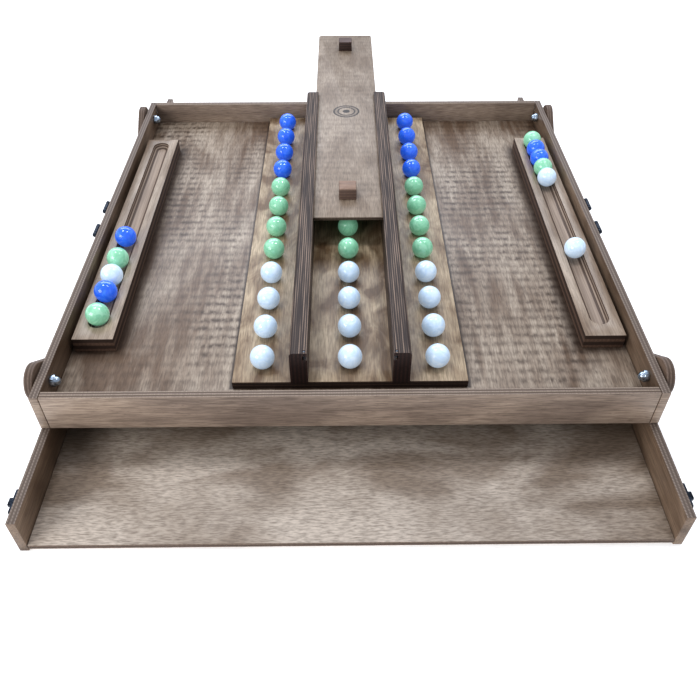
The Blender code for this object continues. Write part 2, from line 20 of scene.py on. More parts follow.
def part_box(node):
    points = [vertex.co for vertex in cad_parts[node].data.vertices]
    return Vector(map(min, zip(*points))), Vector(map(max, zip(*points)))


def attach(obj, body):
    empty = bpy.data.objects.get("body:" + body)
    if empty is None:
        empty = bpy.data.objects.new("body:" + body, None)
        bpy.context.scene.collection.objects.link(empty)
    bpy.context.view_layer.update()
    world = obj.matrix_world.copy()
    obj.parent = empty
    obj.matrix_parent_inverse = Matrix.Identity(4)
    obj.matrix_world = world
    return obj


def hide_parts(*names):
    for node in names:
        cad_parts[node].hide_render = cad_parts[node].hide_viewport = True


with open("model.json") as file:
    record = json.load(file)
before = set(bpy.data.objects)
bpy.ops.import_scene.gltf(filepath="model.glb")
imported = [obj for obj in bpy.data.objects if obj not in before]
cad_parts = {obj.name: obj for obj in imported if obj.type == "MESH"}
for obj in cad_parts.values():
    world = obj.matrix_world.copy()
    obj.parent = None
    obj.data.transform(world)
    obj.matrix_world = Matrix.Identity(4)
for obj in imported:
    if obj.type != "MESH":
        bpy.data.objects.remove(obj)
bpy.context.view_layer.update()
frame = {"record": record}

MM = 0.001
record = frame["record"]
BODY = {n: body for body, nodes in record["behaviour"]["bodies"].items() for n in nodes}
scene = bpy.context.scene

# %% [markdown]
# ## Colours and nodes
#
# Colours are written as sRGB hex values, the way a paint program shows them, and Blender
# wants linear light, so one function turns them.  A second function adds any shader node
# together with its settings and links, which keeps each material readable as a recipe.


# %% Colour and node helpers
def linear(hex_colour):
    """An sRGB hex colour as linear red, green, blue and alpha."""
    made = []
    for i in (1, 3, 5):
        v = int(hex_colour[i : i + 2], 16) / 255
        made.append(v / 12.92 if v <= 0.04045 else ((v + 0.055) / 1.055) ** 2.4)
    return (*made, 1.0)


def grey(v):
    return (v, v, v, 1.0)


def add(tree, kind, inputs=None, stops=None, **settings):
    """A shader node with its settings, its ramp stops, and values or links on its sockets."""
    made = tree.nodes.new("ShaderNode" + kind)
    for key, value in settings.items():
        setattr(made, key, value)
    for socket, value in (inputs or {}).items():
        if isinstance(value, bpy.types.NodeSocket):
            tree.links.new(value, made.inputs[socket])
        else:
            made.inputs[socket].default_value = value
    for i, (position, colour) in enumerate(stops or ()):
        elements = made.color_ramp.elements
        element = elements[i] if i < 2 else elements.new(position)
        element.position = position
        element.color = colour
    return made


def new_material(name):
    """An empty material: its node tree, its shader, and where a point is on its object."""
    material = bpy.data.materials.new(name)
    material.use_nodes = True
    tree = material.node_tree
    tree.nodes.clear()
    shader = add(tree, "BsdfPrincipled")
    add(tree, "OutputMaterial", {"Surface": shader.outputs["BSDF"]})
    return material, tree, shader, add(tree, "TexCoord").outputs["Object"]


FACTOR, A, B, MIXED = 0, 6, 7, 2  # a colour Mix node's sockets

# %% [markdown]
# ## The light, the floor and the camera
#
# The game stands on a white table in a bright room.  A white world gives the even light,
# and a wide soft window behind the table gives the satin sheen on the boards and draws the
# short shadows that fall towards the viewer.  The camera looks down at about 44 degrees.


# %% World, window, ceiling and camera
world = bpy.data.worlds.new("bright_room")
scene.world = world
world.use_nodes = True
world.node_tree.nodes["Background"].inputs["Color"].default_value = linear("#F4F7FF")
world.node_tree.nodes["Background"].inputs["Strength"].default_value = 0.57
scene.view_settings.view_transform = "Standard"
scene.view_settings.look = "Medium High Contrast"


def soft_light(name, place, towards, width, depth, power, colour):
    lamp = bpy.data.lights.new(name, "AREA")
    lamp.shape = "RECTANGLE"
    lamp.size, lamp.size_y, lamp.energy = width, depth, power
    lamp.color = linear(colour)[:3]
    obj = bpy.data.objects.new(name, lamp)
    scene.collection.objects.link(obj)
    obj.location = place
    obj.rotation_euler = (Vector(towards) - Vector(place)).to_track_quat("-Z", "Y").to_euler()
    return obj


soft_light("window_behind", (-0.25, 1.55, 1.35), (0, 0, 0), 2.4, 0.8, 22.0, "#EAF2FF")
soft_light("window_left", (-1.15, -1.0, 0.8), (-0.1, -0.2, 0), 0.9, 0.6, 8.5, "#FAF8F5")
soft_light("ceiling_lamp_left", (-0.5, 0.15, 1.5), (0, 0, 0), 0.3, 0.3, 4.2, "#F8F9FC")
soft_light("ceiling_lamp_right", (0.5, 0.15, 1.5), (0, 0, 0), 0.3, 0.3, 4.2, "#F8F9FC")

camera = bpy.data.objects.new("camera", bpy.data.cameras.new("camera"))
scene.collection.objects.link(camera)
camera.data.sensor_width = 36.0
camera.data.lens = 37.47
camera.location = (-0.0041, -0.5791, 0.4101)
camera.rotation_euler = (math.radians(46.30), 0.0, math.radians(-0.638))
scene.camera = camera

table_material, tree, shader, _ = new_material("white_laminate_table")
shader.inputs["Base Color"].default_value = linear("#FFFFFF")
shader.inputs["Roughness"].default_value = 0.8
shader.inputs["Emission Color"].default_value = grey(1.0)
shader.inputs["Emission Strength"].default_value = 0.3
bm = bmesh.new()
bmesh.ops.create_grid(bm, x_segments=1, y_segments=1, size=15.0)
bmesh.ops.translate(bm, vec=(0, 0, -0.2 * MM), verts=bm.verts)
table_mesh = bpy.data.meshes.new("table_top")
bm.to_mesh(table_mesh)
bm.free()
table_mesh.materials.append(table_material)
table_top = bpy.data.objects.new("table_top", table_mesh)
scene.collection.objects.link(table_top)
print("camera, table and", len(bpy.data.lights), "lights")

# %% [markdown]
# ## Stained birch veneer
#
# The plywood's faces are rotary-cut birch veneer under a walnut stain and a satin lacquer.
# The stain soaks in unevenly, so the eye sees slow clouds of pale and brown, streaks along
# the grain, short dark pores, and on the wide panels a ripple across the grain that the
# veneer knife left.  Each pattern is noise stretched to its real size in millimetres; the
# pores, really 0.1 mm wide, are drawn about 1 mm wide so that they still show.


# %% The veneer recipe
def stretched(grain, along, across):
    """Mapping scale that makes one unit of noise this many mm along and across the grain."""
    return [1 / ((along if axis == grain else across) * MM) for axis in "XYZ"]


def stained_birch(name, grain, pale, brown, dark, clouds=(110, 48), fibre=(16, 0.9),
                  fibres=0.4, pores=0.35, bands=0.35, curl=0.0, ripple=0.0, shine=0.45, shift=0.0):
    material, tree, shader, place = new_material(name)
    origin = (shift, 0.37 * shift, 0.61 * shift)

    def noise(along, across, detail=3.0, distortion=0.0):
        at = add(tree, "Mapping", {"Vector": place, "Location": origin,
                 "Scale": stretched(grain, along, across)}).outputs[0]
        return add(tree, "TexNoise", {"Vector": at, "Scale": 1.0, "Detail": detail,
                   "Distortion": distortion}).outputs["Fac"]

    def darken(colour, amount):
        return add(tree, "Mix", {FACTOR: amount, A: colour, B: linear(dark)},
                   data_type="RGBA").outputs[MIXED]

    streak = noise(85, 6)
    flame = noise(34, 19, 3.0, 0.9)
    tone = add(tree, "Mix", {0: bands, 2: noise(*clouds, 3.0, 0.8), 3: streak}).outputs[0]
    tone = add(tree, "Mix", {0: curl, 2: tone, 3: flame}).outputs[0]
    stain_and_painted_shade = add(tree, "ValToRGB", {"Fac": tone}, stops=[(0.40, linear(brown)),
                                                        (0.60, linear(pale))])
    lines = noise(*fibre)
    dark_lines = add(tree, "ValToRGB", {"Fac": lines},
                     stops=[(0.34, grey(fibres)), (0.62, grey(0.0))]).outputs[0]
    colour = darken(stain_and_painted_shade.outputs[0], dark_lines)
    open_pores = add(tree, "ValToRGB", {"Fac": noise(5, 0.8, 1.0)},
                     stops=[(0.62, grey(0.0)), (0.76, grey(pores))]).outputs[0]
    colour = darken(colour, open_pores)
    if ripple:
        # soft bands across the grain, 9.5 mm apart, in patches and broken into short strokes
        run = add(tree, "Mapping", {"Vector": place, "Location": origin,
                  "Scale": [33.0, 33.0, 33.0]}).outputs[0]
        band = add(tree, "TexWave", {"Vector": run, "Scale": 1.0, "Distortion": 0.9,
                   "Detail": 2.0, "Detail Scale": 1.2}, bands_direction=grain).outputs["Fac"]
        strokes = add(tree, "MapRange", {"Value": noise(7, 4.0, 2.0), "From Min": 0.32,
                      "From Max": 0.62}).outputs[0]
        patch = add(tree, "MapRange", {"Value": noise(95, 60, 2.0), "From Min": 0.38,
                    "From Max": 0.60, "To Min": 0.15}).outputs[0]
        both = add(tree, "Math", {0: band, 1: strokes}, operation="MULTIPLY").outputs[0]
        both = add(tree, "Math", {0: both, 1: patch}, operation="MULTIPLY").outputs[0]
        both = add(tree, "Math", {0: both, 1: ripple}, operation="MULTIPLY").outputs[0]
        colour = darken(colour, both)
    height = add(tree, "Math", {0: lines, 1: open_pores}, operation="SUBTRACT")
    bump = add(tree, "Bump", {"Height": height.outputs[0], "Strength": 0.3,
               "Distance": 0.2 * MM})
    rough = add(tree, "MapRange", {"Value": streak, "To Min": shine - 0.06,
                "To Max": shine + 0.12})
    for socket, value in (("Base Color", colour), ("Roughness", rough.outputs[0]),
                          ("Normal", bump.outputs[0])):
        tree.links.new(value, shader.inputs[socket])
    return material, tree, shader


# %% The veneers
wall_x = stained_birch("walnut_stained_birch_along_x", "X", "#B19E8D", "#86766A", "#483A30",
                       fibre=(11, 0.8), fibres=0.5, bands=0.2, shift=0.3)[0]
# The side walls' veneer is a darker copy of the end walls', with shade painted in for the shade on
# their inner faces.
wall_y_with_painted_shade = stained_birch("walnut_stained_birch_along_y_with_painted_shade", "Y", "#917C69", "#604D3C", "#382A21",
                       fibre=(20, 1.0), shift=0.8)[0]
arm_veneer = stained_birch("walnut_stained_birch_arms", "Y", "#8A7666", "#604F43", "#382A22",
                           fibre=(20, 1.0), shift=1.9)[0]
floor_veneer, floor_tree, floor_shader = stained_birch(
    "satin_birch_tray_floor", "Y", "#B4A696", "#735F4E", "#3E2F24", fibre=(9, 1.0),
    fibres=0.45, ripple=0.88, shine=0.38, shift=0.1)
board_veneer = stained_birch("satin_birch_marble_board", "Y", "#BFAC91", "#735B42", "#433021",
                             curl=0.6, fibre=(11, 0.9), fibres=0.45, pores=0.15, shine=0.4,
                             shift=2.4)[0]
lid_veneer = stained_birch("satin_birch_lid_floor", "X", "#C8BCAF", "#908172", "#504236",
                           clouds=(90, 62), fibre=(5, 0.9), fibres=0.5, pores=0.4,
                           bands=0.1, shine=0.42, shift=3.3)[0]
rack_veneer = stained_birch("satin_birch_racks", "Y", "#B2A291", "#7E6B59", "#46372C",
                            fibres=0.35, shine=0.36, shift=4.1)[0]
rail_veneer = stained_birch("dark_stained_birch_rails", "Y", "#5F4E43", "#3C2D25", "#1F1613",
                            fibres=0.8, shift=5.2)[0]
knob_veneer = stained_birch("walnut_stained_knob", "X", "#9A7D69", "#7A604F", "#453327",
                            fibre=(9, 0.8), shift=6.0)[0]
dark_knob = stained_birch("dark_walnut_knob", "X", "#644A42", "#4D3933", "#2C201D",
                          fibre=(9, 0.8), shift=6.4)[0]

# %% [markdown]
# Shade is painted into the floor: a soft dark band in the corner between the floor and each
# rack, and a thin dark line of painted shadow along the marble board.  The floor's own mixture
# of colours is darkened in those bands, found from the distance to the middle of the case.

# %% Painted shade beside the racks and the board
where = add(floor_tree, "SeparateXYZ", {0: add(floor_tree, "TexCoord").outputs["Object"]})
outwards = add(floor_tree, "Math", {0: where.outputs[0]}, operation="ABSOLUTE").outputs[0]


def ramp(value, start, end, most=1.0):
    """Rises smoothly from 0 at start to most at end."""
    return add(floor_tree, "MapRange", {"Value": value, "From Min": start, "From Max": end,
               "To Max": most}, interpolation_type="SMOOTHSTEP").outputs[0]


def both(a, b):
    return add(floor_tree, "Math", {0: a, 1: b}, operation="MULTIPLY").outputs[0]


rack_low, rack_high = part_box("right_marble_rack")
board_low, board_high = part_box("marble_board")
along = where.outputs[1]
# painted shade: a soft dark band on the floor in the corner beside each rack
painted_rack_shade = both(ramp(outwards, rack_low.x - 13 * MM, rack_low.x - 1 * MM, 0.8),
                  both(ramp(along, rack_low.y - 12 * MM, rack_low.y + 4 * MM),
                       ramp(along, rack_high.y + 12 * MM, rack_high.y - 4 * MM)))
# painted shadow: a thin dark line on the floor along the board's side
painted_board_shade = both(ramp(outwards, board_high.x + 3.5 * MM, board_high.x + 1.5 * MM, 0.9),
                   ramp(along, board_low.y - 1 * MM, board_low.y))
floor_colour = floor_shader.inputs["Base Color"].links[0].from_socket
# each band of painted shade pulls the floor colour towards dark brown
for stain_and_painted_shade in (painted_rack_shade, painted_board_shade):
    floor_colour = add(floor_tree, "Mix", {FACTOR: stain_and_painted_shade, A: floor_colour, B: linear("#362820")},
                  data_type="RGBA").outputs[MIXED]
floor_tree.links.new(floor_colour, floor_shader.inputs["Base Color"])

# %% [markdown]
# ## Plywood edges
#
# On an edge the layers show: veneers with the grain running along the edge look pale and
# smooth, the ones between show dark end grain, and a thin line of glue parts them.  One
# coordinate is enough to draw this, the distance through the sheet; a ping-pong of it gives
# the layers, and long noise makes each streak swell and fade.  Fine slanting lines are the
# marks of the saw.


# %% The layered edge recipe
def ply_edge(name, stack, start, layer, pale, dark, mirrored=False, saw=0.25, broken=0.35):
    """stack is the axis through the sheet, start its first face and layer a veneer, in mm."""
    material, tree, shader, place = new_material(name)
    depth = add(tree, "SeparateXYZ", {0: place}).outputs[stack]
    if mirrored:
        depth = add(tree, "Math", {0: depth}, operation="ABSOLUTE").outputs[0]
    depth = add(tree, "Math", {0: depth, 1: 1 / (layer * MM), 2: -start / layer},
                operation="MULTIPLY_ADD").outputs[0]
    along = "Y" if stack != "Y" else "X"

    def noise(length, width, detail):
        at = add(tree, "Mapping", {"Vector": place, "Scale": stretched(along, length, width)})
        return add(tree, "TexNoise", {"Vector": at.outputs[0], "Scale": 1.0,
                   "Detail": detail}).outputs["Fac"]

    depth = add(tree, "Math", {0: noise(30, 4, 2.0), 1: 0.28, 2: depth},
                operation="MULTIPLY_ADD").outputs[0]
    half = add(tree, "Math", {0: depth, 1: 0.5}, operation="MULTIPLY").outputs[0]
    half = add(tree, "Math", {0: half}, operation="FRACT").outputs[0]
    layers = add(tree, "ValToRGB", {"Fac": half}, stops=[
        (0.0, linear(dark)), (0.08, linear(pale)), (0.44, linear(pale)), (0.54, linear(dark)),
        (1.0, linear(dark))])
    fade = add(tree, "ValToRGB", {"Fac": noise(50, 0.9, 3.0)},
               stops=[(0.40, grey(broken)), (0.60, grey(0.0))])
    colour = add(tree, "Mix", {FACTOR: fade.outputs[0], A: layers.outputs[0], B: linear(dark)},
                 data_type="RGBA").outputs[MIXED]
    run = add(tree, "Mapping", {"Vector": place, "Rotation": (0, 0, math.radians(38)),
              "Scale": [170.0] * 3}).outputs[0]
    marks = add(tree, "TexWave", {"Vector": run, "Scale": 1.0, "Distortion": 1.5},
                bands_direction=along)
    saw_marks = add(tree, "ValToRGB", {"Fac": marks.outputs["Fac"]},
                    stops=[(0.3, grey(0.0)), (0.9, grey(saw))])
    colour = add(tree, "Mix", {FACTOR: saw_marks.outputs[0], A: colour, B: linear(dark)},
                 data_type="RGBA").outputs[MIXED]
    bump = add(tree, "Bump", {"Height": half, "Strength": 0.2, "Distance": 0.15 * MM})
    tree.links.new(colour, shader.inputs["Base Color"])
    tree.links.new(bump.outputs[0], shader.inputs["Normal"])
    shader.inputs["Roughness"].default_value = 0.62
    return material


# %% The edges
PALE_EDGE, DARK_EDGE = "#9C8D7F", "#5F5045"
BROWN_EDGE, DEEP_EDGE = "#7D6A5B", "#4A3A30"
X, Y, Z = 0, 1, 2
edge_side = ply_edge("birch_ply_edge_side_walls", X, 204.0, 1.2, "#8C7F75", "#61544B", True, 0.7)
edge_arm = ply_edge("birch_ply_edge_arms", X, 211.2, 1.2, "#77665A", "#544439", True)
edge_rail = ply_edge("dark_ply_edge_rails", X, 29.0, 12 / 15, "#8E7A6B", "#2E211C", True, 0.1,
                     1.0)

# %% [markdown]
# ## Glass and metal
#
# The marbles are pressed opal glass: opaque, very smooth, with faint cloudy swirls where the
# molten colours turned.  The nuts and bolts are bright zinc-plated steel, and the latches
# are steel under a blue-black oven lacquer that dulls a little where fingers touch it.


# %% Glass and metal recipes
def opal_glass(name, colour, deep, light, painted_glow):
    """The last argument is painted light: an emission glow for the light from the marble's far
    side.
    """
    material, tree, shader, place = new_material(name)
    swirl = add(tree, "TexNoise", {"Vector": place, "Scale": 110.0, "Detail": 2.0,
                "Roughness": 0.5, "Distortion": 2.2})
    tint = add(tree, "ValToRGB", {"Fac": swirl.outputs["Fac"]}, stops=[
        (0.34, linear(deep)), (0.5, linear(colour)), (0.68, linear(light))])
    tree.links.new(tint.outputs[0], shader.inputs["Base Color"])
    # painted light: the emission makes each marble glow though it is no lamp
    shader.inputs["Emission Color"].default_value = linear(colour)
    shader.inputs["Emission Strength"].default_value = painted_glow
    shader.inputs["Roughness"].default_value = 0.06
    shader.inputs["IOR"].default_value = 1.52
    shader.inputs["Coat Weight"].default_value = 0.4
    shader.inputs["Coat Roughness"].default_value = 0.02
    return material


def worked_metal(name, colour, worn, metallic, roughness, grit):
    """grit is the size in mm of the finish's unevenness."""
    material, tree, shader, place = new_material(name)
    uneven = add(tree, "TexNoise", {"Vector": place, "Scale": 1 / (grit * MM), "Detail": 4.0})
    tint = add(tree, "ValToRGB", {"Fac": uneven.outputs["Fac"]},
               stops=[(0.42, linear(colour)), (0.72, linear(worn))])
    rough = add(tree, "MapRange", {"Value": uneven.outputs["Fac"], "To Min": roughness - 0.05,
                "To Max": roughness + 0.1})
    bump = add(tree, "Bump", {"Height": uneven.outputs["Fac"], "Strength": 0.2,
               "Distance": 0.05 * MM})
    tree.links.new(tint.outputs[0], shader.inputs["Base Color"])
    tree.links.new(rough.outputs[0], shader.inputs["Roughness"])
    tree.links.new(bump.outputs[0], shader.inputs["Normal"])
    shader.inputs["Metallic"].default_value = metallic
    return material


GLASS = {
    # the last number of each is the strength of the painted glow
    "white": opal_glass("opal_white_glass", "#CFE5FA", "#C4DDF6", "#E0F0FF", 0.21),
    "green": opal_glass("mint_green_glass", "#92D3B0", "#83C6A3", "#A8E0C2", 0.18),
    "blue": opal_glass("cobalt_blue_glass", "#3670F0", "#2C64E6", "#4B86FA", 0.24),
}
zinc = worked_metal("zinc_plated_steel", "#9FB0C2", "#D3DEEA", 1.0, 0.18, 3.0)
pin_steel = worked_metal("dull_pin_steel", "#5E646C", "#868D96", 1.0, 0.42, 1.0)
lacquer = worked_metal("blue_black_lacquered_steel", "#1B2029", "#3A4350", 0.8, 0.36, 1.2)

# %% [markdown]
# ## Making a piece
#
# Every piece takes the place of one node of the imported model.  It rides on that node's body
# and hides the node.  Most pieces are sawn boards, so two shapes do nearly all the work: a
# board between two corners, and a flat sheet with holes cut through.
# Their edges are sanded round, because a perfectly sharp edge never catches the light.


# %% Piece and board helpers
def piece(name, bm, node, *materials, slot=None, smooth=32):
    """Turns bm into a piece that stands for a node."""
    mesh = bpy.data.meshes.new(name)
    bm.to_mesh(mesh)
    bm.free()
    for material in materials:
        mesh.materials.append(material)
    mesh.shade_smooth()
    mesh.set_sharp_from_angle(angle=math.radians(smooth))
    obj = bpy.data.objects.new(name, mesh)
    scene.collection.objects.link(obj)
    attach(obj, BODY[node])
    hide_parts(node)
    return obj


def ease(bm, edges, width, segments=2):
    """Rounds edges over by a width in mm."""
    bmesh.ops.bevel(bm, geom=list(edges), offset=width * MM, affect="EDGES",
                    segments=segments, profile=0.5, material=-1, clamp_overlap=True)


def sharp_edges(bm, angle=30):
    return [e for e in bm.edges if len(e.link_faces) == 2
            and e.calc_face_angle() > math.radians(angle)]


def board(low, high, width=0.45):
    """A board between two corners with its edges eased."""
    bm = bmesh.new()
    bmesh.ops.create_cube(bm, size=1.0)
    bmesh.ops.scale(bm, vec=Vector(high) - Vector(low), verts=bm.verts)
    bmesh.ops.translate(bm, vec=(Vector(low) + Vector(high)) / 2, verts=bm.verts)
    ease(bm, bm.edges, width)
    return bm


def show_edges(bm, stack, ends=None):
    """Gives faces that don't face along the sheet's thickness the second material."""
    bm.normal_update()
    for face in bm.faces:
        if abs(face.normal[stack]) < 0.8:
            face.material_index = 1
            if ends is not None and abs(face.normal[ends]) > 0.8:
                face.material_index = 2


def sheet(outline, holes, thickness):
    """A flat sheet from z 0 up, in mm: an outline with holes cut through."""
    bm = bmesh.new()
    for loop in (outline, *holes):
        ring = [bm.verts.new((x * MM, y * MM, 0.0)) for x, y in loop]
        for a, b in zip(ring, ring[1:] + ring[:1]):
            bm.edges.new((a, b))
    bmesh.ops.triangle_fill(bm, use_beauty=True, edges=bm.edges[:], normal=(0, 0, 1))
    grown = bmesh.ops.extrude_face_region(bm, geom=bm.faces[:])["geom"]
    top = [v for v in grown if isinstance(v, bmesh.types.BMVert)]
    bmesh.ops.translate(bm, vec=(0, 0, thickness * MM), verts=top)
    bmesh.ops.recalc_face_normals(bm, faces=bm.faces)
    return bm


def circle(cx, cy, radius, steps=28, start=0.0, turn=360.0):
    """Points on a circle, or on an arc that takes in both its ends, angles in degrees."""
    count = steps if turn == 360.0 else steps + 1
    points = []
    for i in range(count):
        angle = math.radians(start + turn * i / steps)
        points.append((cx + radius * math.cos(angle), cy + radius * math.sin(angle)))
    return points


def stadium(length, radius, steps=14):
    """A slot's outline along X, with its end centres at 0 and at length."""
    return circle(length, 0, radius, steps, -90, 180) + circle(0, 0, radius, steps, 90, 180)


def place(bm, matrix):
    bmesh.ops.transform(bm, matrix=matrix, verts=bm.verts)
    if matrix.determinant() < 0:
        bmesh.ops.reverse_faces(bm, faces=bm.faces[:])
    return bm


UPRIGHT = Matrix(((0, 0, 1, 0), (1, 0, 0, 0), (0, 1, 0, 0), (0, 0, 0, 1)))  # XY becomes YZ
SIDES = (("left", -1), ("right", 1))
ENDS = ("front", "rear")

# %% [markdown]
# ## The tray and the half-lids
#
# The walls are 6 mm plywood, glued at butt joints round thin floor panels.  Each wall shows
# veneer on its two wide faces and layers on its rims.  The side walls are sheets, because
# a pivot bolt goes through each of them near both ends.


# %% Floors
def floor_piece(name, node, veneer, start):
    low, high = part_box(node)
    bm = board(low, high, 0.3)
    show_edges(bm, Z)
    edge = ply_edge(name + "_edge_layers", Z, start, 4 / 3, BROWN_EDGE, DEEP_EDGE)
    return piece(name, bm, node, veneer, edge)


floor_piece("tray_floor_panel", "tray_floor", floor_veneer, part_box("tray_floor")[0].z / MM)
for end in ENDS:
    floor_piece(f"{end}_lid_floor_panel", f"{end}_lid_floor", lid_veneer, 2.0)

# %% End walls
for name, node in (("tray_front_plank", "tray_front_wall"), ("tray_rear_plank", "tray_rear_wall"),
                   ("front_lid_end_plank", "front_lid_end_wall"),
                   ("rear_lid_end_plank", "rear_lid_end_wall")):
    low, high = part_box(node)
    bm = board(low, high)
    show_edges(bm, Y)
    layers = ply_edge(name + "_rim_layers", Y, low.y / MM, 1.2, PALE_EDGE, DARK_EDGE, saw=0.1)
    piece(name, bm, node, wall_x, layers)


# %% Side walls with their pivot holes
def side_wall(name, node, holes):
    """holes are (y, z) in mm where bolts go through."""
    low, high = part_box(node)
    y0, z0, y1, z1 = low.y / MM, low.z / MM, high.y / MM, high.z / MM
    bm = sheet([(y0, z0), (y1, z0), (y1, z1), (y0, z1)],
               [circle(y, z, 2.3, 16) for y, z in holes], (high.x - low.x) / MM)
    bmesh.ops.dissolve_limit(bm, angle_limit=0.01, verts=bm.verts, edges=bm.edges)
    rim = [e for e in sharp_edges(bm) if all(
        min(abs(v.co.x - y0 * MM), abs(v.co.x - y1 * MM)) < 1e-6
        or min(abs(v.co.y - z0 * MM), abs(v.co.y - z1 * MM)) < 1e-6 for v in e.verts)]
    ease(bm, rim, 0.45)
    place(bm, Matrix.Translation((low.x, 0, 0)) @ UPRIGHT)
    show_edges(bm, X, Y)
    # the side walls take the veneer with painted shade
    return piece(name, bm, node, wall_y_with_painted_shade, edge_side, wall_y_with_painted_shade if "lid" in name else wall_x)


def middle(node):
    low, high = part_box(node)
    return (low + high) / 2


def pivot_at(node):
    c = middle(node)
    return c.y / MM, c.z / MM


for side, sign in SIDES:
    side_wall(f"tray_{side}_plank", f"tray_{side}_wall",
              [pivot_at(f"{end}_{side}_tray_pivot") for end in ENDS])
    for end in ENDS:
        side_wall(f"{end}_lid_{side}_plank", f"{end}_lid_{side}_wall",
                  [pivot_at(f"{end}_{side}_lid_pivot")])
print("tray and half-lids made")

# %% [markdown]
# ## The marble board
#
# The board has a shallow round dimple for each marble.  A sheet with 36 holes gives the top
# veneer, and from each rim a bowl is drawn down in a few narrowing rings, as a round-nosed
# cutter would leave it.


# %% Board with dimples
MARBLE = 8.7
PITCH = 32.2
low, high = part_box("marble_board")
row_nodes = [f"{row}_row_{colour}_marbles" for row in ("left", "middle", "right")
             for colour in GLASS]
seats = []
for node in row_nodes:
    c = middle(node)
    seats += [(c.x / MM, c.y / MM + (i - 1.5) * PITCH) for i in range(4)]
DIMPLE, DIMPLE_DEPTH = 5.0, 2.6


def dimple_bowl(bm, ring, centre):
    """Draws a ring of edges down into a bowl and closes it."""
    for step in (1, 2, 3):
        turn = math.radians(step * 28)
        grown = bmesh.ops.extrude_edge_only(bm, edges=ring)["geom"]
        verts = [v for v in grown if isinstance(v, bmesh.types.BMVert)]
        ring = [e for e in grown if isinstance(e, bmesh.types.BMEdge)]
        ratio = math.cos(turn) / math.cos(turn - math.radians(28))
        bmesh.ops.scale(bm, vec=(ratio, ratio, 1), verts=verts,
                        space=Matrix.Translation(-centre))
        height = centre.z - DIMPLE_DEPTH * MM * math.sin(turn)
        for v in verts:
            v.co.z = height
    bmesh.ops.holes_fill(bm, edges=ring, sides=0)


outline = [(low.x / MM, low.y / MM), (high.x / MM, low.y / MM),
           (high.x / MM, high.y / MM), (low.x / MM, high.y / MM)]
bm = bmesh.new()
rings = []
for loop in (outline, *[circle(x, y, DIMPLE, 20) for x, y in seats]):
    ring = [bm.verts.new((x * MM, y * MM, high.z)) for x, y in loop]
    rings.append([bm.edges.new(pair) for pair in zip(ring, ring[1:] + ring[:1])])
bmesh.ops.triangle_fill(bm, use_beauty=True, edges=bm.edges[:], normal=(0, 0, 1))
grown = bmesh.ops.extrude_edge_only(bm, edges=rings[0])["geom"]
for v in grown:
    if isinstance(v, bmesh.types.BMVert):
        v.co.z = low.z
bmesh.ops.holes_fill(bm, edges=[e for e in grown if isinstance(e, bmesh.types.BMEdge)
                                and e.is_boundary], sides=0)
for ring, (x, y) in zip(rings[1:], seats):
    dimple_bowl(bm, ring, Vector((x * MM, y * MM, high.z)))
bmesh.ops.recalc_face_normals(bm, faces=bm.faces)
border = [e for e in sharp_edges(bm, 60) if all(
    min(abs(v.co.x - low.x), abs(v.co.x - high.x), abs(v.co.y - low.y),
        abs(v.co.y - high.y)) < 1e-6 for v in e.verts)]
ease(bm, border, 0.7)
show_edges(bm, Z)
for face in bm.faces:
    inside = all(low.x + 0.001 < v.co.x < high.x - 0.001 and low.y + 0.001 < v.co.y
                 < high.y - 0.001 for v in face.verts)
    if inside:
        face.material_index = 0
edge_board = ply_edge("dark_ply_edge_board", Z, low.z / MM, 1.2, "#4E3D33", "#2B201C")
piece("marble_row_board", bm, "marble_board", board_veneer, edge_board)
print("board with", len(seats), "dimples")

# %% [markdown]
# ## The racks
#
# Each rack is a 12 mm board with a cove milled along it by a round-nosed cutter, so the
# veneers below the first show as lines along its sides, and a marble rolls on its two rims.
# The cove's loops all have the same points, so each is an extrusion of the loop before.


# %% Racks with a round-bottomed groove
SLOT_REACH = 264.5  # mm between the centres of the groove's round ends
COVE = ((7.2, 0.7), (7.0, 1.7), (6.4, 3.0), (5.3, 4.3), (3.8, 5.2), (2.0, 5.6))
edge_rack = ply_edge("dark_ply_edge_racks", Z, 40.7, 3.0, "#6E584A", "#3C2D25")
groove_layers = ply_edge("birch_ply_cove_layers", Z, 40.7, 1.0, "#A39283", "#56463B", saw=0.0)


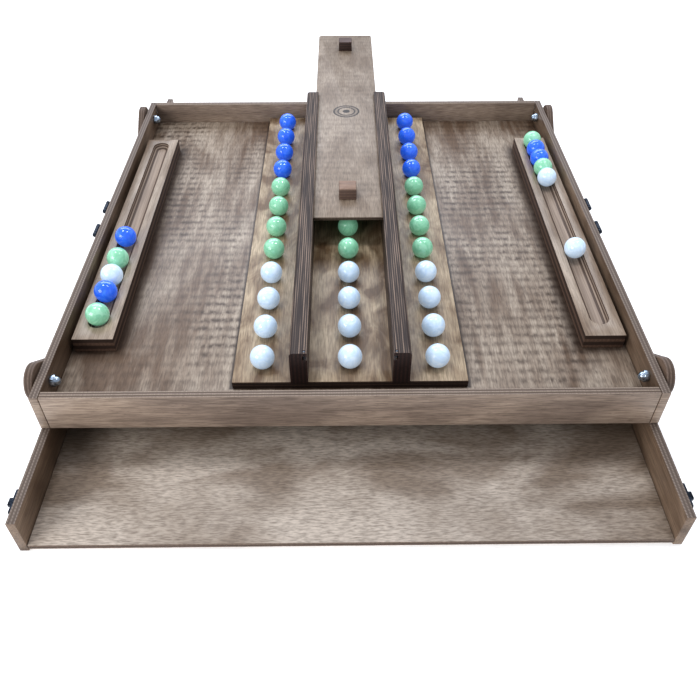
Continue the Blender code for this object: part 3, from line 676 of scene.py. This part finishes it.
def rack(name, node):
    low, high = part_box(node)
    near = low.y + 20.0 * MM  # the groove's first end centre
    far = near + SLOT_REACH * MM
    cx = (low.x + high.x) / 2
    bm = bmesh.new()
    slot = [(cx / MM - y, near / MM + x) for x, y in stadium(SLOT_REACH, 7.3)]
    outline = [(low.x / MM, low.y / MM), (high.x / MM, low.y / MM),
               (high.x / MM, high.y / MM), (low.x / MM, high.y / MM)]
    loops = []
    for loop in (outline, slot):
        ring = [bm.verts.new((x * MM, y * MM, high.z)) for x, y in loop]
        loops.append([bm.edges.new(pair) for pair in zip(ring, ring[1:] + ring[:1])])
    bmesh.ops.triangle_fill(bm, use_beauty=True, edges=bm.edges[:], normal=(0, 0, 1))
    grown = bmesh.ops.extrude_edge_only(bm, edges=loops[0])["geom"]
    for v in grown:
        if isinstance(v, bmesh.types.BMVert):
            v.co.z = low.z
    bmesh.ops.holes_fill(bm, edges=[e for e in grown if isinstance(e, bmesh.types.BMEdge)
                                    and e.is_boundary], sides=0)
    ring = loops[1]
    milled = set()
    for radius, depth in COVE:
        grown = bmesh.ops.extrude_edge_only(bm, edges=ring)["geom"]
        ring = [e for e in grown if isinstance(e, bmesh.types.BMEdge)]
        milled |= {f for f in grown if isinstance(f, bmesh.types.BMFace)}
        for v in grown:
            if isinstance(v, bmesh.types.BMVert):
                end = near if v.co.y < (near + far) / 2 else far
                out = Vector((v.co.x - cx, v.co.y - end, 0)).normalized() * radius * MM
                v.co = (cx + out.x, end + out.y, high.z - depth * MM)
    milled |= set(bmesh.ops.holes_fill(bm, edges=ring, sides=0)["faces"])
    bmesh.ops.recalc_face_normals(bm, faces=bm.faces)
    show_edges(bm, Z)
    for face in milled:
        face.material_index = 2
    rim = [e for e in sharp_edges(bm, 60) if all(v.co.z > high.z - 1e-6 for v in e.verts)]
    uprights = [e for e in sharp_edges(bm, 60) if abs(e.verts[0].co.z - e.verts[1].co.z)
                > 11 * MM]
    ease(bm, rim + uprights, 0.5)
    return piece(name, bm, node, rack_veneer, edge_rack, groove_layers)


for side, sign in SIDES:
    rack(f"{side}_rack_board", f"{side}_marble_rack")
print("racks made")

# %% [markdown]
# ## The guide rails, their stop pins and the sliding cover
#
# A rail is a strip of 12 mm plywood standing on its edge, so its layers run along the top
# as fine lines.  Its outline is drawn once as a cross-section, with the groove and the
# rounded outer corner, and drawn out along the tray.  A steel pin closes each groove's end.


# %% Rails
rail_end = ply_edge("dark_end_grain_rails", X, 29.0, 12 / 9, "#3A2723", "#251816", True, 0.0, 0.5)


def rail(name, node, sign):
    low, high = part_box(node)
    width, bottom, top = 12.0, low.z / MM, high.z / MM
    inner = (low.x if sign > 0 else -high.x) / MM
    groove_low, groove_high, groove_in = top - 6.3, top - 2.7, 3.1
    corner = circle(inner + width - 2.6, top - 2.6, 2.6, 6, 0, 90)
    outline = [(inner, bottom), (inner + width, bottom), *corner, (inner, top),
               (inner, groove_high), (inner + groove_in, groove_high),
               (inner + groove_in, groove_low), (inner, groove_low)]
    bm = sheet(outline, [], (high.y - low.y) / MM)
    bmesh.ops.dissolve_limit(bm, angle_limit=0.01, verts=bm.verts, edges=bm.edges)
    lengthwise = [e for e in sharp_edges(bm, 60)
                  if abs(e.verts[0].co.z - e.verts[1].co.z) > 0.1]
    ease(bm, lengthwise, 0.35)
    stand = Matrix(((sign, 0, 0, 0), (0, 0, -1, high.y), (0, 1, 0, 0), (0, 0, 0, 1)))
    place(bm, stand)
    show_edges(bm, X, Y)
    obj = piece(name, bm, node, rail_veneer, edge_rail, rail_end)
    drill = bmesh.new()
    bmesh.ops.create_cone(drill, cap_ends=True, segments=16, radius1=1.15 * MM,
                          radius2=1.15 * MM, depth=10 * MM)
    pin = middle(f"{node.split('_')[0]}_cover_stop_pin")
    bmesh.ops.translate(drill, vec=(pin.x, pin.y, (groove_low + 0.4) * MM + 5 * MM),
                        verts=drill.verts)
    cut_away(obj, drill)
    return obj


def cut_away(obj, tool_bm):
    """Cuts a closed shape out of a piece and keeps the result as its mesh."""
    mesh = bpy.data.meshes.new("drill")
    tool_bm.to_mesh(mesh)
    tool_bm.free()
    tool = bpy.data.objects.new("drill", mesh)
    scene.collection.objects.link(tool)
    boolean = obj.modifiers.new("hole", "BOOLEAN")
    boolean.object, boolean.operation, boolean.solver = tool, "DIFFERENCE", "EXACT"
    bpy.context.view_layer.update()
    graph = bpy.context.evaluated_depsgraph_get()
    made = bpy.data.meshes.new_from_object(obj.evaluated_get(graph), depsgraph=graph)
    obj.modifiers.clear()
    obj.data = made
    bpy.data.objects.remove(tool, do_unlink=True)


for side, sign in SIDES:
    rail(f"{side}_rail_strip", f"{side}_guide_rail", sign)


# %% [markdown]
# Small round metal parts are turned shapes: rings of points one above the other, each pair
# bridged by faces.  A ring can be round or six-sided, and with the same number of points a
# round dome grows straight out of a hexagon.


# %% Turned shapes
def six_sided(angle, corner):
    """Distance to a hexagon's side in the direction of angle."""
    return corner * math.cos(math.radians(30)) / math.cos((angle % math.radians(60))
                                                          - math.radians(30))


def turned(rings, segments=24):
    """rings are (radius, height, six-sided or not) in mm, from one closed end to the other."""
    bm = bmesh.new()
    previous, first = None, None
    for radius, height, hexagon in rings:
        ring = bmesh.ops.create_circle(bm, cap_ends=False, radius=radius * MM,
                                       segments=segments)["verts"]
        for v in ring:
            if hexagon:
                angle = math.atan2(v.co.x, v.co.y) % (2 * math.pi)
                v.co *= six_sided(angle, radius) / radius
            v.co.z = height * MM
        edges = list({e for v in ring for e in v.link_edges})
        if previous:
            bmesh.ops.bridge_loops(bm, edges=previous + edges)
        else:
            first = edges
        previous = edges
    for edges in (first, previous):
        bmesh.ops.holes_fill(bm, edges=[e for e in edges if e.is_boundary], sides=0)
    bmesh.ops.recalc_face_normals(bm, faces=bm.faces)
    return bm


def stop_pin(name, node):
    low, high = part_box(node)
    c, half = (low + high) / 2, (high.z - low.z) / 2 / MM
    bm = turned([(0.55, -half, 0), (0.85, -half + 0.3, 0), (0.85, half - 0.35, 0),
                 (0.55, half, 0)], 16)
    return piece(name, place(bm, Matrix.Translation(c)), node, pin_steel)


for side, sign in SIDES:
    stop_pin(f"{side}_steel_stop_pin", f"{side}_cover_stop_pin")

# %% [markdown]
# The cover is a thin strip with two glued-on wooden knobs.  A round mark is burnt into it;
# here it is a plain double ring with a dot, drawn from the distance to its centre.


# %% Cover veneer with the burnt ring
cover_low, cover_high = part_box("sliding_cover")
cover_veneer, tree, shader = stained_birch(
    "satin_birch_cover_with_burnt_ring", "Y", "#A69787", "#7D6C5B", "#463729", fibre=(12, 0.9),
    fibres=0.4, curl=0.35, ripple=0.3, shine=0.42, shift=7.7)
plain = shader.inputs["Base Color"].links[0].from_socket
coords = add(tree, "TexCoord").outputs["Object"]
centred = add(tree, "Mapping", {"Vector": coords, "Location":
              (0, -(cover_low.y + 193.5 * MM), -cover_high.z)}).outputs[0]
distance = add(tree, "VectorMath", {0: centred}, operation="LENGTH").outputs["Value"]
wobble = add(tree, "TexNoise", {"Vector": coords, "Scale": 700.0, "Detail": 2.0})
radius = add(tree, "Math", {0: wobble.outputs["Fac"], 1: 0.0012, 2: distance},
             operation="MULTIPLY_ADD").outputs[0]
radius = add(tree, "Math", {0: radius, 1: 1 / (16 * MM)}, operation="MULTIPLY").outputs[0]
burnt = add(tree, "ValToRGB", {"Fac": radius}, stops=[
    (0.0, grey(1.0)), (0.24, grey(1.0)), (0.29, grey(0.0)), (0.50, grey(0.0)),
    (0.54, grey(0.95)), (0.60, grey(0.95)), (0.63, grey(0.3)), (0.74, grey(0.3)),
    (0.78, grey(0.95)), (0.86, grey(0.95)), (0.89, grey(0.0))])
ringed = add(tree, "Mix", {FACTOR: burnt.outputs[0], A: plain, B: linear("#2A201A")},
             data_type="RGBA").outputs[MIXED]
tree.links.new(ringed, shader.inputs["Base Color"])
edge_cover = ply_edge("birch_ply_edge_cover", Z, cover_low.z / MM, 1.0, "#8A796B", "#4A3B33")

# %% Cover and knobs
half = (cover_high.x - cover_low.x) / 2 / MM
reach = (cover_high.y - cover_low.y) / MM
outline = [(-half, 0), (half, 0), *circle(half - 4, reach - 4, 4, 8, 0, 90),
           *circle(-half + 4, reach - 4, 4, 8, 90, 90)]
bm = sheet(outline, [], (cover_high.z - cover_low.z) / MM)
bmesh.ops.dissolve_limit(bm, angle_limit=0.01, verts=bm.verts, edges=bm.edges)
ease(bm, sharp_edges(bm, 60), 0.4)
place(bm, Matrix.Translation((0, cover_low.y, cover_low.z)))
show_edges(bm, Z)
piece("cover_strip", bm, "sliding_cover", cover_veneer, edge_cover)

for end, finish in (("front", knob_veneer), ("rear", dark_knob)):
    low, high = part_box(f"cover_{end}_knob")
    bm = bmesh.new()
    bmesh.ops.create_cube(bm, size=1.0)
    bmesh.ops.scale(bm, vec=high - low, verts=bm.verts)
    bmesh.ops.translate(bm, vec=(low + high) / 2, verts=bm.verts)
    ease(bm, [e for e in bm.edges if e.verts[0].co.xy == e.verts[1].co.xy], 1.0)
    ease(bm, [e for e in sharp_edges(bm, 60) if all(v.co.z > high.z - 1e-6
                                                    for v in e.verts)], 1.6)
    edge_knob = ply_edge(f"{end}_knob_edge_layers", Z, low.z / MM, 1.4,
                         "#7A6557" if end == "front" else "#4A342E",
                         "#66534A" if end == "front" else "#33251F")
    show_edges(bm, Z)
    piece(f"{end}_cover_knob", bm, f"cover_{end}_knob", finish, edge_knob)
print("rails, pins, cover and knobs made")

# %% [markdown]
# ## The link arms and their pivots
#
# An arm is a rounded plywood strip with two countersunk holes.  Each pivot is a flat-headed
# bolt with a hexagon socket, a washer that keeps the arm off the wall, and a domed cap nut
# inside the wall.  They are separate pieces, as they are in the maker's box of hardware.


# %% Arms
ARM_R, ARM_T = 13.0, 6.0


def arm(name, node, end, side, sign):
    low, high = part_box(node)
    a, b = pivot_at(f"{end}_{side}_tray_pivot"), pivot_at(f"{end}_{side}_lid_pivot")
    length = math.dist(a, b)
    slope = math.atan2(b[1] - a[1], b[0] - a[0])
    bm = sheet(stadium(length, ARM_R, 20), [circle(0, 0, 2.3, 20), circle(length, 0, 2.3, 20)],
               ARM_T)
    top = ARM_T * MM if sign > 0 else 0.0
    rims = [e for e in sharp_edges(bm) if abs(e.verts[0].co.z - e.verts[1].co.z) < 1e-7]
    sinks, outer = [], []
    for e in rims:
        mid = (e.verts[0].co + e.verts[1].co) / 2
        nearest = min((mid.xy - Vector((0, 0))).length, (mid.xy - Vector((length * MM, 0))).length)
        if nearest > 5 * MM:
            outer.append(e)
        elif abs(mid.z - top) < 1e-6:
            sinks.append(e)
    ease(bm, sinks, 2.3, 1)
    ease(bm, [e for e in outer if e.is_valid], 0.9, 3)
    turn = Matrix.Rotation(slope, 4, "Z")
    place(bm, Matrix.Translation((low.x, a[0] * MM, a[1] * MM)) @ UPRIGHT @ turn)
    show_edges(bm, X)
    return piece(name, bm, node, arm_veneer, edge_arm)


def out_from(sign, x, y, z):
    """Turns a shape about +Z so that its axis points out of a side wall at a point in mm."""
    outwards = Matrix.Rotation(math.radians(90 * sign), 4, "Y")
    return Matrix.Translation((x * MM, y * MM, z * MM)) @ outwards


def pivot(end, side, sign, kind):
    """Bolt, washer and cap nut; heights are below the bolt head's flat face."""
    node = f"{end}_{side}_{kind}_pivot"
    y, z = pivot_at(node)
    outer = 217.2 * sign
    where = out_from(sign, outer, y, z)
    bolt = turned([(1.3, -1.5, 1), (1.5, -0.02, 1), (4.1, 0.0, 0), (4.2, -0.25, 0),
                   (2.0, -2.2, 0), (2.0, -14.6, 0)])
    piece(f"{end}_{side}_{kind}_bolt", place(bolt, where), node, zinc)
    washer = sheet(circle(0, 0, 5.4, 32), [circle(0, 0, 2.15, 24)], 0.6)
    ease(washer, sharp_edges(washer, 60), 0.12, 1)
    place(washer, where @ Matrix.Translation((0, 0, -6.9 * MM)))
    piece(f"{end}_{side}_{kind}_washer", washer, node, zinc)
    seat = -13.5
    dome = [(3.3 * math.cos(math.radians(t)), seat - 3.5 - 3.3 * math.sin(math.radians(t)), 0)
            for t in (0, 18, 36, 54, 72, 84)]
    nut = turned([(2.1, seat - 1.6, 0), (2.1, seat, 0), (3.7, seat, 0), (4.2, seat - 0.35, 1),
                  (4.2, seat - 2.9, 1), (3.5, seat - 3.3, 0), *dome])
    piece(f"{end}_{side}_{kind}_cap_nut", place(nut, where), node, zinc)


for end in ENDS:
    for side, sign in SIDES:
        arm(f"{end}_{side}_link", f"{end}_{side}_arm", end, side, sign)
        pivot(end, side, sign, "tray")
        pivot(end, side, sign, "lid")
print("arms and pivots made")

# %% [markdown]
# ## The latches
#
# Small lacquered toggle latches hold the case shut.  A base plate with two knuckles is
# screwed to the tray's side, a hasp with a window hangs on its pin, and the half-lid has
# a plate with a hook for the window to drop over.  The parts are folded sheet, so each is
# made of thin eased plates, fused where the real one is folded or riveted.


# %% Latch helpers
def fuse(*meshes):
    """Joins overlapping closed shapes into one."""
    objects = []
    for i, shape in enumerate(meshes):
        mesh = bpy.data.meshes.new(f"fuse_{i}")
        shape.to_mesh(mesh)
        shape.free()
        objects.append(bpy.data.objects.new(f"fuse_{i}", mesh))
        scene.collection.objects.link(objects[-1])
    base = objects[0]
    for other in objects[1:]:
        boolean = base.modifiers.new("fuse", "BOOLEAN")
        boolean.object, boolean.operation, boolean.solver = other, "UNION", "EXACT"
    bpy.context.view_layer.update()
    graph = bpy.context.evaluated_depsgraph_get()
    made = bpy.data.meshes.new_from_object(base.evaluated_get(graph), depsgraph=graph)
    bm = bmesh.new()
    bm.from_mesh(made)
    bpy.data.meshes.remove(made)
    for obj in objects:
        bpy.data.objects.remove(obj, do_unlink=True)
    bmesh.ops.remove_doubles(bm, verts=bm.verts, dist=1e-6)
    return bm


def plate(x, width, z0, z1, thickness, corner=1.2, holes=()):
    """A plate facing X: its back at x, centred on Y, between two heights; all in mm."""
    half = width / 2
    points = []
    for cy, cz, start in ((half, z1, 0), (-half, z1, 90), (-half, z0, 180), (half, z0, 270)):
        sy, sz = (-1 if cy > 0 else 1), (-1 if cz == z1 else 1)
        points += circle(cy + sy * corner, cz + sz * corner, corner, 4, start, 90)
    bm = sheet(points, holes, thickness)
    place(bm, Matrix.Translation((x * MM, 0, 0)) @ UPRIGHT)
    return bm


def bar(radius, y0, y1, segments=18):
    """A round bar along Y with its ends chamfered."""
    c = min(0.25, radius / 3)
    bm = turned([(radius - c, y0, 0), (radius, y0 + c, 0), (radius, y1 - c, 0),
                 (radius - c, y1, 0)], segments)
    return place(bm, Matrix.Rotation(math.radians(-90), 4, "X"))


def screw_head(y, z, x):
    """A domed slotless rivet-like screw head on a plate's face."""
    bm = turned([(1.5, -0.3, 0), (1.5, 0.1, 0), (1.25, 0.42, 0), (0.7, 0.62, 0), (0.2, 0.68, 0)],
                18)
    return place(bm, out_from(1, x, y, z))


# %% Latches and catches
HALF = 210.0
REACH = 3.4  # mm from the wall's face, less the gap, to a latch's pin
NECK = 8.4
SHEET = 1.2
for end in ENDS:
    for side, sign in SIDES:
        node = f"{end}_{side}_latch_base"
        c = middle(node)
        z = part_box(node)[1].z - 1.9 * MM
        turn = Matrix.Identity(4) if sign > 0 else Matrix.Rotation(math.pi, 4, "Z")
        where = Matrix.Translation((sign * (HALF + 0.3 + REACH) * MM, c.y, z)) @ turn
        base = [plate(-REACH, 22, -15.1, 1.9, SHEET)]
        for s in (-1, 1):
            inner, outer = s * (NECK / 2 + 0.3), s * (NECK / 2 + 3.3)
            base.append(bar(1.9, min(inner, outer), max(inner, outer)))
            base.append(board((-3.0 * MM, min(inner, outer) * MM, -0.8 * MM),
                              (0, max(inner, outer) * MM, 0.8 * MM), 0.15))
            base.append(screw_head(s * 9.0, -12.2, -REACH + SHEET))
        base.append(bar(0.7, -NECK / 2 - 1, NECK / 2 + 1))
        piece(f"{end}_{side}_latch_plate", place(fuse(*base), where), node, lacquer)

        hasp = fuse(bar(1.9, -NECK / 2, NECK / 2),
                    plate(-1.0, NECK, -6.0, -0.6, SHEET, 0.3),
                    plate(-1.0, 15, -16.2, -5.2, SHEET, 1.6,
                          [[(-3.2, -10.7), (3.2, -10.7), (3.2, -6.9), (-3.2, -6.9)]]),
                    board((0, -4 * MM, -16.3 * MM), (1.6 * MM, 4 * MM, -15.0 * MM), 0.3))
        drill = bar(1.0, -6, 6)
        obj = piece(f"{end}_{side}_hasp_strap", place(hasp, where), f"{end}_{side}_hasp", lacquer)
        cut_away(obj, place(drill, where))

        node = f"{end}_{side}_catch"
        low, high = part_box(node)
        c = middle(node)
        where = Matrix.Translation((sign * (HALF + 0.3) * MM, c.y, low.z + 12 * MM)) @ turn
        hook = fuse(plate(0, 18, -12, -1, SHEET), board((0.6 * MM, -2.8 * MM, -4.5 * MM),
                    (4.0 * MM, 2.8 * MM, -1.9 * MM), 0.4), screw_head(-6, -8.6, SHEET),
                    screw_head(6, -8.6, SHEET))
        piece(f"{end}_{side}_catch_hook", place(hook, where), node, lacquer)
print("latches made")

# %% [markdown]
# ## The marbles
#
# A marble is a plain sphere, but its finish makes it: an icosphere has evenly spread faces
# and no poles, so its reflections stay clean.  Each one lies in its own dimple or rack.


# %% Marbles
RACK_RUNS = {
    "left_rack_marbles": (("green", 0.0), ("blue", 26.7), ("white", 47.1), ("green", 69.0)),
    "left_rack_blue_marble": (("blue", 0.0),),
    "right_rack_marbles": (("white", 0.0), ("green", 18.0), ("blue", 35.9), ("blue", 53.8),
                           ("green", 71.7)),
    "right_rack_white_marble": (("white", 0.0),),
}


def marble(name, node, colour, x, y, z):
    bm = bmesh.new()
    bmesh.ops.create_icosphere(bm, subdivisions=4, radius=MARBLE * MM)
    turn = Matrix.Rotation(y * 91.0, 4, Vector((1, x + 0.3, 0.5)).normalized())
    place(bm, Matrix.Translation((x, y, z)) @ turn)
    return piece(name, bm, node, GLASS[colour], slot=colour + "_glass", smooth=180)


count = 0
for node in row_nodes:
    c, (row, _, colour, _) = middle(node), node.split("_")
    for i in range(4):
        marble(f"{row}_row_{colour}_marble_{i + 1}", node, colour,
               c.x, c.y + (i - 1.5) * PITCH * MM, c.z)
        count += 1
for node, run in RACK_RUNS.items():
    c, last = middle(node), run[-1][1]
    for i, (colour, along) in enumerate(run):
        marble(f"{node.split('_')[0]}_rack_{len(run)}_{colour}_marble_{i + 1}", node, colour,
               c.x, c.y + (along - last / 2) * MM, c.z)
        count += 1
print("marbles:", count)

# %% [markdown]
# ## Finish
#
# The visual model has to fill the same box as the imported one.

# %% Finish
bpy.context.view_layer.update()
